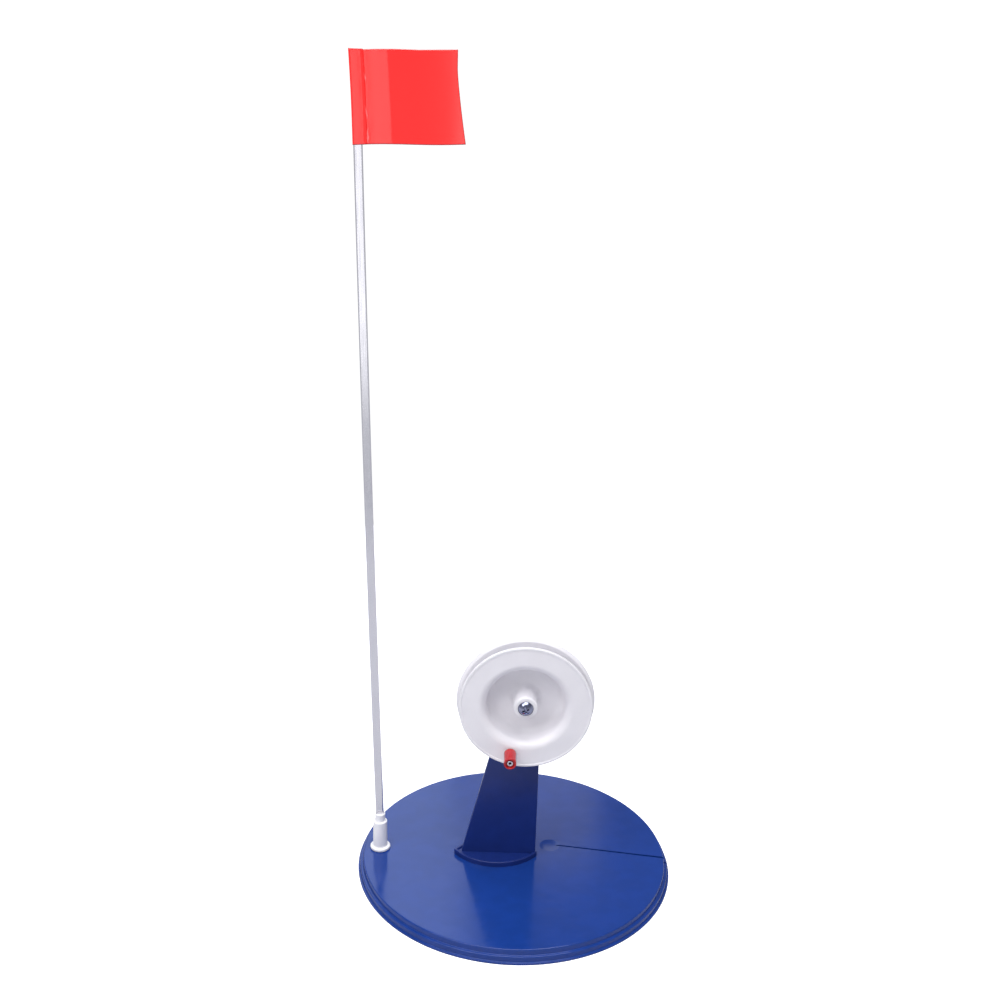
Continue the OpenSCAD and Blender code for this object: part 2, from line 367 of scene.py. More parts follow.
# Natural nylon 6: off-white, matt turned faces.
WASHER_NYLON = Moulded(
    "nylon_natural_turned", "D8D6CC", "CFCDC2", 0.5, ior=1.53, peel_mm=0.4, subsurface=0.2
)
# Soft red PVC tube, extruded: an oily gloss with faint draw lines along its length.
KNOB_RED = Moulded("pvc_red_extruded", "BC101A", "A60C15", 0.2, ior=1.53, peel_mm=0.7, wave_mm=6.0)
# Bright zinc plate with a blue passivate over cold-headed steel.
SCREW_ZINC = Metal("zinc_plated_steel", "989CB2", "8488A2", 0.18, patch_mm=2.0)
# Nickel plate on brass: warm white, almost a mirror at the rolled lip.
RIVET_NICKEL = Metal("nickel_plated_brass", "D2CDD6", "C4BFC9", 0.1, patch_mm=1.5)
# Polished, tempered spring strip: rolled lines run along it, too fine to show, so drawn coarser.
STRIP_STEEL = Metal(
    "tempered_spring_steel", "D8D7DC", "D0CFD6", 0.17, patch_mm=30.0, stretch=(1.0, 1.0, 0.01)
)
# Calendered red vinyl film with a gloss coat on both faces.
FLAG_RED = CoatedFilm("vinyl_film_red_gloss", "FF0D08", "F80B07", 0.16, ior=1.72, patch_mm=25.0)


# ------------------------------------------------------------- mesh making


def mesh_from(
    vertices: Sequence[Sequence[float]], faces: Sequence[Sequence[int]], name: str = "made"
) -> Mesh:
    """Makes a mesh in metres from points in millimetres.

    Args:
        vertices: the points.
        faces: each face's point numbers.
        name: the mesh's name.

    Returns:
        The mesh, with doubles merged and normals outwards.
    """
    made = bpy.data.meshes.new(name)
    made.from_pydata([[c * MM for c in v] for v in vertices], [], faces)
    return tidy(made)


def tidy(mesh: Mesh, reach: float = 2e-7) -> Mesh:
    """Merges a mesh's doubles and turns its faces outwards.

    Args:
        mesh: the mesh, changed in place.
        reach: distance under which points merge, in metres.

    Returns:
        The same mesh.
    """
    work = bmesh.new()
    work.from_mesh(mesh)
    bmesh.ops.remove_doubles(work, verts=work.verts, dist=reach)
    bmesh.ops.dissolve_degenerate(work, edges=work.edges, dist=reach)
    bmesh.ops.recalc_face_normals(work, faces=work.faces)
    work.to_mesh(mesh)
    work.free()
    return mesh


def shade(mesh: Mesh, angle: float = 32.0, flat_mm2: float = 12.0) -> Mesh:
    """Shades a mesh smooth, with sharp edges kept and its large plane faces flat.

    Args:
        mesh: the mesh, changed in place.
        angle: edges turned by more degrees than this stay sharp.
        flat_mm2: faces of a larger area than this are plane and shaded flat.

    Returns:
        The same mesh.
    """
    for face in mesh.polygons:
        face.use_smooth = len(face.vertices) < 5 or face.area < flat_mm2 * MM * MM
    mesh.set_sharp_from_angle(angle=math.radians(angle))
    return mesh


def rounded(corners: Sequence[Corner], steps: int = 5, hold: float = 0.18) -> list[Point]:
    """Rounds the corners of an open line.

    Args:
        corners: each corner and its radius; the two ends are taken as they are.
        steps: number of straight steps on each round corner.
        hold: distance of a holding point past each end of a round, which keeps flats flat.

    Returns:
        The line's points.
    """
    line: list[Point] = [corners[0][:2]]
    for before, here, after in zip(corners, corners[1:], corners[2:]):
        corner = Vector(here[:2])
        back = Vector(before[:2]) - corner
        ahead = Vector(after[:2]) - corner
        turn = back.angle(ahead)
        if here[2] <= 0 or abs(turn - math.pi) < 0.01:
            line.append(here[:2])
            continue
        reach = min(here[2] / math.tan(turn / 2), 0.48 * back.length, 0.48 * ahead.length)
        radius = reach * math.tan(turn / 2)
        centre = corner + (back.normalized() + ahead.normalized()).normalized() * (
            radius / math.sin(turn / 2)
        )
        first = corner + back.normalized() * reach - centre
        sweep = math.pi - turn
        side = 1 if back.x * ahead.y - back.y * ahead.x < 0 else -1
        if 0.5 * back.length - reach > hold:
            line.append(tuple(corner + back.normalized() * (reach + hold)))
        for k in range(steps + 1):
            spun = first.copy()
            spun.rotate(Matrix.Rotation(side * sweep * k / steps, 2))
            line.append(tuple(centre + spun))
        if 0.5 * ahead.length - reach > hold:
            line.append(tuple(corner + ahead.normalized() * (reach + hold)))
    line.append(corners[-1][:2])
    return line


def ring(corners: Sequence[Corner], steps: int = 5, hold: float = 0.18) -> list[Point]:
    """Rounds a closed section; its first corner stays sharp and ends the line too."""
    return rounded([*corners, corners[0]], steps, hold)


class Tree:
    """A Geometry Nodes tree with named inputs, which makes plain meshes."""

    def __init__(self, name: str, sizes: dict[str, str]) -> None:
        """Starts the tree.

        Args:
            name: the tree's name.
            sizes: the socket type of each named input.
        """
        self.group = bpy.data.node_groups.new(name, "GeometryNodeTree")
        face = self.group.interface
        face.new_socket("Geometry", in_out="INPUT", socket_type="NodeSocketGeometry")
        self.keys = {
            key: face.new_socket(key, in_out="INPUT", socket_type=kind).identifier
            for key, kind in {**sizes, "Finish": "NodeSocketMaterial"}.items()
        }
        face.new_socket("Geometry", in_out="OUTPUT", socket_type="NodeSocketGeometry")
        self.start = self.add("NodeGroupInput").outputs

    def add(self, kind: str, sockets: dict | None = None, **settings: object) -> Node:
        """Adds a node to this tree."""
        return add_node(self.group, kind, sockets, **settings)

    def sum(self, operation: str, first: object, second: object = 0.0) -> NodeSocket:
        """Adds one step of arithmetic and returns its result."""
        return self.add("ShaderNodeMath", {0: first, 1: second}, operation=operation).outputs[0]

    def close(self, geometry: NodeSocket) -> None:
        """Ends the tree in Realize Instances and Set Material.

        Args:
            geometry: the finished shape.
        """
        real = self.add("GeometryNodeRealizeInstances", {0: geometry}).outputs[0]
        dressed = self.add(
            "GeometryNodeSetMaterial", {"Geometry": real, "Material": self.start["Finish"]}
        )
        self.add("NodeGroupOutput", {0: dressed.outputs[0]})

    def make(self, values: dict[str, object], finish: Material, line: Sequence[Point] = ()) -> Mesh:
        """Runs the tree once and takes its result as a plain mesh.

        Args:
            values: a value for each named input.
            finish: the material.
            line: points in millimetres for the mesh that the tree starts from.

        Returns:
            The mesh, in metres.
        """
        seed = bpy.data.meshes.new("section")
        seed.from_pydata([(x * MM, 0.0, z * MM) for x, z in line], [], [])
        carrier = bpy.data.objects.new("carrier", seed)
        bpy.context.scene.collection.objects.link(carrier)
        modifier = carrier.modifiers.new("made", "NODES")
        modifier.node_group = self.group
        for key, value in {**values, "Finish": finish}.items():
            modifier[self.keys[key]] = value
        graph = bpy.context.evaluated_depsgraph_get()
        made = bpy.data.meshes.new_from_object(carrier.evaluated_get(graph), depsgraph=graph)
        carrier.modifiers.remove(modifier)
        bpy.data.objects.remove(carrier)
        bpy.data.meshes.remove(seed)
        return tidy(made)


def turned_tree() -> Tree:
    """Builds the tree that turns a section round its upright axis.

    Returns:
        The tree; its geometry input holds the section's points in order.
    """
    tree = Tree("turned_section", {"Steps": "NodeSocketInt"})
    section, steps = tree.start["Geometry"], tree.start["Steps"]
    count = tree.add("GeometryNodeAttributeDomainSize", {0: section}).outputs["Point Count"]
    grid = tree.add(
        "GeometryNodeMeshGrid", {"Vertices X": tree.sum("ADD", steps, 1.0), "Vertices Y": count}
    ).outputs["Mesh"]
    index = tree.add("GeometryNodeInputIndex").outputs[0]
    along = tree.sum("MODULO", index, count)
    step = tree.sum("FLOOR", tree.sum("DIVIDE", tree.sum("ADD", index, 0.5), count))
    place = tree.add("GeometryNodeInputPosition").outputs[0]
    taken = tree.add(
        "GeometryNodeSampleIndex",
        {"Geometry": section, "Value": place, "Index": along},
        data_type="FLOAT_VECTOR",
        domain="POINT",
    ).outputs[0]
    parts = tree.add("ShaderNodeSeparateXYZ", {0: taken}).outputs
    turn = tree.sum("MULTIPLY", tree.sum("DIVIDE", step, steps), math.tau)
    spot = tree.add(
        "ShaderNodeCombineXYZ",
        {
            "X": tree.sum("MULTIPLY", parts["X"], tree.sum("COSINE", turn)),
            "Y": tree.sum("MULTIPLY", parts["X"], tree.sum("SINE", turn)),
            "Z": parts["Z"],
        },
    ).outputs[0]
    moved = tree.add("GeometryNodeSetPosition", {"Geometry": grid, "Position": spot})
    merged = tree.add("GeometryNodeMergeByDistance", {"Geometry": moved.outputs[0], "Distance": 1e-6})
    tree.close(merged.outputs[0])
    return tree


def thread_tree() -> Tree:
    """Builds the tree that winds a screw's thread.

    Returns:
        The tree.
    """
    tree = Tree(
        "screw_thread",
        {
            "Turns": "NodeSocketFloat",
            "Core Radius": "NodeSocketFloat",
            "Depth": "NodeSocketFloat",
            "Length": "NodeSocketFloat",
        },
    )
    helix = tree.add(
        "GeometryNodeCurveSpiral",
        {
            "Resolution": 40,
            "Rotations": tree.start["Turns"],
            "Start Radius": tree.start["Core Radius"],
            "End Radius": tree.start["Core Radius"],
            "Height": tree.start["Length"],
        },
    ).outputs[0]
    edge = tree.add(
        "GeometryNodeCurvePrimitiveCircle", {"Resolution": 3, "Radius": tree.start["Depth"]}
    ).outputs["Curve"]
    wound = tree.add(
        "GeometryNodeCurveToMesh", {"Curve": helix, "Profile Curve": edge, "Fill Caps": True}
    )
    tree.close(wound.outputs[0])
    return tree


def strip_tree() -> Tree:
    """Builds the tree that lays a flat strip along the mast's leaning line.

    Returns:
        The tree; sizes are in metres.
    """
    names = ["Width", "Thickness", "Low", "High", "Foot", "Free", "Top", "Lean", "Return"]
    sizes = {name: "NodeSocketFloat" for name in names}
    tree = Tree("leaning_strip", {**sizes, "Rows": "NodeSocketInt"})
    start = tree.start
    size = tree.add(
        "ShaderNodeCombineXYZ",
        {
            "X": start["Width"],
            "Y": start["Thickness"],
            "Z": tree.sum("SUBTRACT", start["High"], start["Low"]),
        },
    ).outputs[0]
    bar = tree.add(
        "GeometryNodeMeshCube",
        {"Size": size, "Vertices X": 13, "Vertices Y": 3, "Vertices Z": start["Rows"]},
    ).outputs["Mesh"]
    place = tree.add("GeometryNodeInputPosition").outputs[0]
    x, y, z = tree.add("ShaderNodeSeparateXYZ", {0: place}).outputs
    middle = tree.sum("MULTIPLY", tree.sum("ADD", start["Low"], start["High"]), 0.5)
    height = tree.sum("ADD", z, middle)
    rise = tree.sum("SUBTRACT", height, start["Free"])
    run = tree.sum("SUBTRACT", start["Top"], start["Free"])
    part = tree.sum("MAXIMUM", tree.sum("DIVIDE", rise, run), 0.0)
    leant = tree.sum("MULTIPLY", start["Lean"], part)
    back = tree.sum("MULTIPLY", start["Return"], tree.sum("MULTIPLY", part, part))
    shift = tree.sum("ADD", start["Foot"], tree.sum("SUBTRACT", back, leant))
    half = tree.sum("MULTIPLY", start["Width"], 0.5)
    out = tree.sum("ABSOLUTE", tree.sum("DIVIDE", x, half))
    crown = tree.sum("SUBTRACT", 1.0, tree.sum("MULTIPLY", tree.sum("POWER", out, 14.0), 0.7))
    spot = tree.add(
        "ShaderNodeCombineXYZ",
        {"X": tree.sum("ADD", x, shift), "Y": tree.sum("MULTIPLY", y, crown), "Z": height},
    ).outputs[0]
    moved = tree.add("GeometryNodeSetPosition", {"Geometry": bar, "Position": spot})
    tree.close(moved.outputs[0])
    return tree


TURNED = turned_tree()
THREAD = thread_tree()
STRIP = strip_tree()

# Turns a piece made upright so that its top faces the front, as everything on the reel's axis does.
FACING = Matrix.Rotation(math.pi / 2, 4, "X")


def turned(
    section: Sequence[Point],
    finish: Material,
    at: Sequence[float] = (0.0, 0.0, 0.0),
    facing: bool = False,
    steps: int = 96,
) -> Mesh:
    """Turns a section into a round solid and puts it in place.

    Args:
        section: radius and height of each point, in millimetres.
        finish: the material.
        at: where the section's origin goes, in millimetres.
        facing: True to point the axis to the front, False for upright.
        steps: number of steps round.

    Returns:
        The mesh.
    """
    made = TURNED.make({"Steps": steps}, finish, section)
    if facing:
        made.transform(FACING)
    made.transform(Matrix.Translation(Vector(at) * MM))
    return made


def combine(first: Mesh, second: Mesh, how: Join) -> Mesh:
    """Unites two closed solids or cuts one with the other.

    Args:
        first: the solid that is kept.
        second: the solid that is added or taken away.
        how: unite or cut.

    Returns:
        A new mesh with the first one's material.
    """
    objects = [bpy.data.objects.new("work", mesh) for mesh in (first, second)]
    for item in objects:
        bpy.context.scene.collection.objects.link(item)
    modifier = objects[0].modifiers.new("join", "BOOLEAN")
    modifier.operation = how.value
    modifier.object = objects[1]
    modifier.solver = "EXACT"
    graph = bpy.context.evaluated_depsgraph_get()
    made = bpy.data.meshes.new_from_object(objects[0].evaluated_get(graph), depsgraph=graph)
    for item in objects:
        bpy.data.objects.remove(item)
    return tidy(made, 1e-7)


def block(low: Sequence[float], high: Sequence[float]) -> Mesh:
    """Makes a plain cutting block between two corners, in millimetres."""
    (a, b, c), (d, e, f) = low, high
    points = [(x, y, z) for z in (c, f) for x, y in ((a, b), (d, b), (d, e), (a, e))]
    sides = [(i, (i + 1) % 4, (i + 1) % 4 + 4, i + 4) for i in range(4)]
    return mesh_from(points, [*sides, (3, 2, 1, 0), (4, 5, 6, 7)])


def loft(rings: Sequence[Sequence[Sequence[float]]]) -> Mesh:
    """Joins rings of equally many points into a closed solid with flat ends.

    Args:
        rings: the rings in order, points in millimetres.

    Returns:
        The mesh.
    """
    count = len(rings[0])
    points = [p for one in rings for p in one]
    faces: list[tuple[int, ...]] = []
    for k in range(len(rings) - 1):
        for i in range(count):
            j = (i + 1) % count
            faces.append((k * count + i, k * count + j, (k + 1) * count + j, (k + 1) * count + i))
    faces.append(tuple(reversed(range(count))))
    faces.append(tuple(range((len(rings) - 1) * count, len(rings) * count)))
    return mesh_from(points, faces)


def inset(outline: Sequence[Point], depth: float) -> list[Point]:
    """Draws a counter-clockwise outline in by a distance, with mitred corners.

    Args:
        outline: the outline's points.
        depth: how far in.

    Returns:
        As many points.
    """
    drawn = []
    for i, here in enumerate(outline):
        before, after = outline[i - 1], outline[(i + 1) % len(outline)]
        normals = []
        for p, q in ((before, here), (here, after)):
            edge = (Vector(q) - Vector(p)).normalized()
            normals.append(Vector((-edge.y, edge.x)))
        mitre = (normals[0] + normals[1]) / max(0.3, 1 + normals[0].dot(normals[1]))
        drawn.append(tuple(Vector(here) + mitre * depth))
    return drawn


def plate(outline: Sequence[Point], thick: float, edge: float, place: Matrix, steps: int = 4) -> Mesh:
    """Makes a plate with rounded edges.

    Args:
        outline: counter-clockwise outline in the plate's own plane, in millimetres.
        thick: the plate's thickness.
        edge: radius of the edges on both faces.
        place: turns and moves the plate, in millimetres.
        steps: steps on each rounded edge.

    Returns:
        The mesh.
    """
    levels = []
    for k in range(steps + 1):
        turn = math.pi / 2 * k / steps
        levels.append((edge * (1 - math.sin(turn)), edge * (1 - math.cos(turn))))
    both = levels + [(depth, thick - height) for depth, height in reversed(levels)]
    rings = []
    for depth, height in both:
        rings.append([place @ Vector((x, y, height)) for x, y in inset(outline, depth)])
    return loft(rings)


# ------------------------------------------------------------------ the pieces


@dataclass
class Assembly:
    """A sub-assembly: its bodies' pieces are made by build() and noted for the report."""

    pieces: list[Object] = field(default_factory=list)

    def piece(
        self,
        name: str,
        mesh: Mesh,
        finish: Material,
        slot: str,
        nodes: Sequence[str],
        body: str | None = None,
    ) -> Object:
        """Makes one finished piece of a mesh.

        Args:
            name: the piece's name.
            mesh: the mesh, in place.
            finish: its material.
            slot: the record's material slot; not used.
            nodes: the CAD nodes that it stands for.
            body: the CAD body that it rides on, or None to leave it unattached.

        Returns:
            The piece's object.
        """
        mesh.name = name
        mesh.materials.clear()
        mesh.materials.append(finish)
        for face in mesh.polygons:
            face.material_index = 0
        made = bpy.data.objects.new(name, mesh)
        bpy.context.scene.collection.objects.link(made)
        if body is not None:
            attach(made, body)
        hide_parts(*nodes)
        self.pieces.append(made)
        return made

    def report(self) -> None:
        """Logs each piece with its number of faces."""
        for one in self.pieces:
            LOG.info("%s: %s, %d faces", type(self).__name__, one.name, len(one.data.polygons))


@dataclass
class HoleCover(Assembly):
    """The round cover: a hollow stepped tray with a dimple, a line slit and two fixing holes."""

    lip_h: float = 1.4
    ledge_in: float = 1.4
    deck_in: float = 3.4
    ledge_z: float = 4.8
    deck_t: float = 2.2
    rim_t: float = 2.0
    edge: float = 0.75
    slit_from: Point = (28.0, 8.3)
    slit_angle: float = -8.3
    slit_w: float = 1.1
    slit_end_w: float = 1.8
    dimple_at: Point = (23.2, 7.8)
    dimple_r: float = 6.5
    dimple_depth: float = 0.35
    slot_low: Point = (-28.15, -5.65)
    slot_high: Point = (8.15, -2.35)
    hole_at: float = -86.4
    hole_r: float = 4.07

    def build(self) -> None:
        """Makes the cover's one moulding."""
        finish = COVER_BLUE.material()
        outer, _, top = box_mm("base_disc")[1]
        made = turned(self._section(outer, top), finish, steps=288)
        made = combine(made, self._dimple(finish, top), Join.CUT)
        made = combine(made, self._slit(outer, top), Join.CUT)
        slot = block((*self.slot_low, -1.0), (*self.slot_high, top + 1))
        made = combine(made, slot, Join.CUT)
        hole = turned(
            [(0, -1), (self.hole_r, -1), (self.hole_r, top + 1), (0, top + 1)],
            finish,
            (self.hole_at, 0, 0),
        )
        made = combine(made, hole, Join.CUT)
        shade(made)
        for face in made.polygons:
            if face.normal.z > 0.99999 and face.center.z > (top - 0.01) * MM:
                face.use_smooth = False
        self.piece("hole_cover", made, finish, "blue_plastic", ["base_disc"], "base")

    def _section(self, outer: float, top: float) -> list[Point]:
        """Draws the tray's half section from the middle of the deck round to its underside."""
        ledge = outer - self.ledge_in
        deck = outer - self.deck_in
        under = top - self.deck_t
        low = self.ledge_z - self.rim_t
        return rounded(
            [
                (0, top, 0),
                (deck, top, self.edge),
                (deck + 0.4, self.ledge_z + 0.1, 0.5),
                (ledge, self.ledge_z, 0.7),
                (ledge + 0.25, self.lip_h, 0.45),
                (outer, self.lip_h, 0.4),
                (outer, 0, 0.3),
                (ledge - self.rim_t, 0, 0.3),
                (ledge - self.rim_t, low, 0.5),
                (deck - self.rim_t, low, 0.3),
                (deck - self.rim_t, under, 0.6),
                (0, under, 0),
            ]
        )

    def _dimple(self, finish: Material, top: float) -> Mesh:
        """Makes the lens that presses the dimple into the deck."""
        ball = (self.dimple_r**2 + self.dimple_depth**2) / (2 * self.dimple_depth)
        rise = 1.0
        reach = math.sqrt(ball**2 - (ball - self.dimple_depth - rise) ** 2)
        widest = math.asin(reach / ball)
        arc = [
            (ball * math.sin(widest * k / 24), ball - ball * math.cos(widest * k / 24)) for k in range(25)
        ]
        lens = [*arc, (0.0, arc[-1][1])]
        return turned(lens, finish, (*self.dimple_at, top - self.dimple_depth))

    def _slit(self, outer: float, top: float) -> Mesh:
        """Makes the long cutter of the line slit: round inside, a little wider at the rim."""
        half = self.slit_w / 2
        end = [
            (-half * math.cos(a), half * math.sin(a))
            for a in (math.pi / 2 - math.pi * k / 12 for k in range(13))
        ]
        mouth = self.slit_end_w / 2
        outline = [(outer, mouth), *end, (outer, -mouth)]
        spun = Matrix.Rotation(math.radians(self.slit_angle), 4, "Z")
        place = Matrix.Translation((*self.slit_from, 0)) @ spun
        rings = [[place @ Vector((x, y, z)) for x, y in outline] for z in (-1.0, top + 1)]
        return loft(rings)


@dataclass
class Stand(Assembly):
    """The upright: blade, lens-shaped foot, back rib, screw boss and the snap tongue."""

    blade_t: float = 3.0
    front_y: float = -5.5
    left_x: float = -34.2
    right_x: float = 13.5
    top_r: float = 10.1
    axis: Point = REEL_AXIS
    foot_at: Point = (-11.9, -4.3)
    foot_r: float = 32.7
    foot_half: float = 13.5
    foot_h: float = 3.4
    foot_edge: float = 1.6
    foot_plate: float = 2.6
    rib_t: float = 3.0
    rib_root: float = 10.0
    rib_tip: float = 5.0
    boss_r: float = 6.0
    boss_len: float = 6.0
    bore_r: float = 1.85
    tongue: Point = (-28.0, 8.0)
    tongue_z: float = 3.0
    barb: float = 1.0
    barb_w: float = 10.0
    barb_h: float = 0.6
    barb_gap: float = 0.15
    lip_h: float = 0.6
    lip_out: float = 0.5
    lip_in: float = 0.35
    blade_round: float = 0.55
    rib_round: float = 0.45
    weld: float = 0.4
    overlap: float = 0.5
    sunk: float = 1.0
    drill: float = 9.0

    def build(self) -> None:
        """Makes the stand's one moulding."""
        finish = STAND_BLUE.material()
        deck = box_mm("base_disc")[1][2]
        under = deck - HoleCover().deck_t
        back = self.front_y + self.blade_t
        made = self._foot(deck)
        made = combine(made, self._blade(deck), Join.UNITE)
        made = combine(made, self._rib(deck, back), Join.UNITE)
        section = rounded(
            [
                (0, -self.sunk, 0),
                (self.boss_r, -self.sunk, 0),
                (self.boss_r, self.boss_len, 0.6),
                (0, self.boss_len, 0),
            ]
        )
        boss = turned(section, finish)
        boss.transform(Matrix.Rotation(-math.pi / 2, 4, "X"))
        boss.transform(Matrix.Translation(Vector((self.axis[0], back, self.axis[1])) * MM))
        made = combine(made, boss, Join.UNITE)
        (left, right), low = self.tongue, self.tongue_z
        tongue = block((left, self.front_y, low), (right, back, deck + self.overlap))
        made = combine(made, tongue, Join.UNITE)
        for side in (-1, 1):
            made = combine(made, self._barb(side, under), Join.UNITE)
        bore = turned(
            [(0, -self.drill), (self.bore_r, -self.drill), (self.bore_r, self.drill), (0, self.drill)],
            finish,
            (self.axis[0], 0, self.axis[1]),
            facing=True,
        )
        made = combine(made, bore, Join.CUT)
        self.piece("stand_moulding", shade(made), finish, "stand_plastic", ["stand"], "base")

    def _lens(self, depth: float, height: float, steps: int = 40) -> list[tuple]:
        """Draws the foot's outline, drawn in by depth, as one ring of points at a height."""
        radius = self.foot_r - depth
        reach = self.foot_r - self.foot_half
        spread = math.acos(reach / radius)
        ring_points = []
        for side in (-1, 1):
            for k in range(steps):
                turn = -spread + 2 * spread * k / steps
                x = self.foot_at[0] - side * radius * math.sin(turn)
                y = self.foot_at[1] - side * (radius * math.cos(turn) - reach)
                ring_points.append((x, y, height))
        return ring_points

    def _foot(self, deck: float) -> Mesh:
        """Makes the foot: a lens-shaped plate with a raised, rounded edge."""
        top = deck + self.foot_h
        floor = deck + self.foot_plate
        levels = [(0.0, deck), (0.0, top - self.lip_h)]
        for k in range(1, 6):
            turn = math.pi / 2 * k / 5
            fall = self.lip_out * (1 - math.sin(turn))
            levels.append((self.lip_out * (1 - math.cos(turn)), top - fall))
        inner, curl = self.foot_edge, self.lip_in
        for k in range(1, 6):
            turn = math.pi / 2 * k / 5
            fall = curl * (1 - math.cos(turn))
            levels.append((inner - curl + curl * math.sin(turn), top - fall))
        levels += [(inner + 0.05, floor + 0.15), (inner + 0.25, floor), (inner + 0.5, floor)]
        return loft([self._lens(depth, height) for depth, height in levels])

    def _blade(self, deck: float) -> Mesh:
        """Makes the blade: straight edges that touch a round top."""
        centre = Vector(self.axis)
        ends = []
        for root, side in (((self.right_x, deck + self.weld), 1), ((self.left_x, deck + self.weld), -1)):
            to_top = centre - Vector(root)
            heading = math.atan2(to_top.y, to_top.x) - side * math.asin(self.top_r / to_top.length)
            reach = math.sqrt(to_top.length**2 - self.top_r**2)
            touch = Vector(root) + reach * Vector((math.cos(heading), math.sin(heading)))
            ends.append(touch - centre)
        first = math.atan2(ends[0].y, ends[0].x)
        last = math.atan2(ends[1].y, ends[1].x)
        arc = []
        for k in range(33):
            turn = first + (last - first) * k / 32
            arc.append(tuple(centre + self.top_r * Vector((math.cos(turn), math.sin(turn)))))
        outline = [(self.left_x, deck + self.weld), (self.right_x, deck + self.weld), *arc]
        place = Matrix.Translation((0, self.front_y + self.blade_t, 0)) @ FACING
        return plate(outline, self.blade_t, self.blade_round, place)

    def _rib(self, deck: float, back: float) -> Mesh:
        """Makes the stiffening rib that leans from the foot up to the boss."""
        foot_top = deck + self.foot_plate
        rise = self.axis[1] - foot_top
        lean = math.atan2(self.axis[0] - self.foot_at[0], rise)
        sunk = -self.overlap
        outline = [(sunk, sunk), (self.rib_root, sunk), (self.rib_tip, rise), (sunk, rise)]
        upright = Matrix(((0, 0, 1, 0), (1, 0, 0, 0), (0, 1, 0, 0), (0, 0, 0, 1)))
        place = (
            Matrix.Translation((self.foot_at[0], back, foot_top))
            @ Matrix.Rotation(lean, 4, "Y")
            @ upright
            @ Matrix.Translation((0, 0, -self.rib_t / 2))
        )
        return plate(outline, self.rib_t, self.rib_round, place)

    def _barb(self, side: int, under: float) -> Mesh:
        """Makes one snap barb under the deck."""
        middle = self.front_y + self.blade_t / 2
        half = self.blade_t / 2
        top = under - self.barb_gap
        section = [
            (0.0, top),
            (half + self.barb, top),
            (half + self.barb, top - self.barb_h),
            (half, self.tongue_z),
            (0.0, self.tongue_z),
        ]
        centre = sum(self.tongue) / 2
        rings = [
            [(x, middle + side * y, z) for y, z in section]
            for x in (centre - self.barb_w / 2, centre + self.barb_w / 2)
        ]
        return loft(rings)


